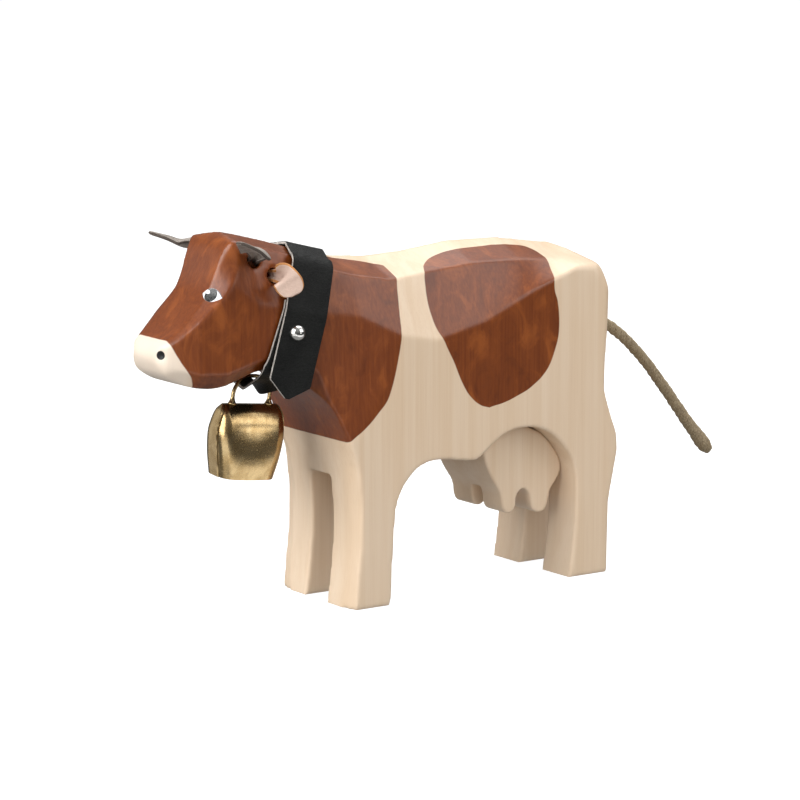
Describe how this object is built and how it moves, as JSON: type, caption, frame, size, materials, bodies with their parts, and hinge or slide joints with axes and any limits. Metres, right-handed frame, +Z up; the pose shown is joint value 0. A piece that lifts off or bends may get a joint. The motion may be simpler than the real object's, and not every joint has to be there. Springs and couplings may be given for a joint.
{
  "type": "carved wooden cow figurine with bell",
  "caption": "Standing cow carved from a board, with leather ears and horns, a cord tail, a riveted leather collar and a small swinging sheet-metal bell.",
  "frame": {"origin": "on the floor under the middle of the carved body, midway between hock and muzzle", "axes": "+X to the muzzle, +Y to the cow's left, +Z up"},
  "size_m": [0.2371, 0.0596, 0.126],
  "materials": {
    "wood": "pale close-grained wood, knife-finished, with reddish-brown stain on the head, the neck and one patch a side",
    "horn_leather": "dark grey grained leather",
    "ear_leather": "pale undyed leather with a raw tan edge",
    "cord": "twisted hemp cord with a frayed end",
    "collar_leather": "black grained leather with pale raw edges",
    "rivet_metal": "bright nickel",
    "bell_brass": "plated sheet with a soft shine",
    "clapper_metal": "plain bent wire"
  },
  "bodies": {
    "cow": {"carved_body": "wood", "udder": "wood", "left_horn": "horn_leather", "right_horn": "horn_leather", "left_ear": "ear_leather", "right_ear": "ear_leather", "tail_cord": "cord"},
    "collar": {"collar_strap": "collar_leather", "rivet_cap": "rivet_metal", "rivet_back": "rivet_metal"},
    "bell": {"bell_shell": "bell_brass", "bell_bail": "bell_brass", "clapper_staple": "clapper_metal"},
    "clapper_link": {"clapper_link": "clapper_metal"},
    "clapper": {"clapper_rod": "clapper_metal", "clapper_ball": "bell_brass"}
  },
  "joints": [
    {"name": "collar_rock", "type": "hinge", "parent": "cow", "child": "collar", "pos_m": [0.02778, 0, 0.1174], "axis": [0, 1, 0], "range_deg": [-1, 0.5]},
    {"name": "bell_swing", "type": "hinge", "parent": "collar", "child": "bell", "pos_m": [0.04865, 0, 0.07551], "axis": [0, 1, 0], "range_deg": [-8, 8]},
    {"name": "link_swing", "type": "hinge", "parent": "bell", "child": "clapper_link", "pos_m": [0.04804, -0.0012, 0.06394], "axis": [0.9949, 0, 0.1011], "range_deg": [-7, 3]},
    {"name": "clapper_swing", "type": "hinge", "parent": "clapper_link", "child": "clapper", "pos_m": [0.04829, -0.00142, 0.06146], "axis": [0, 1, 0], "range_deg": [-14, 14]}
  ]
}
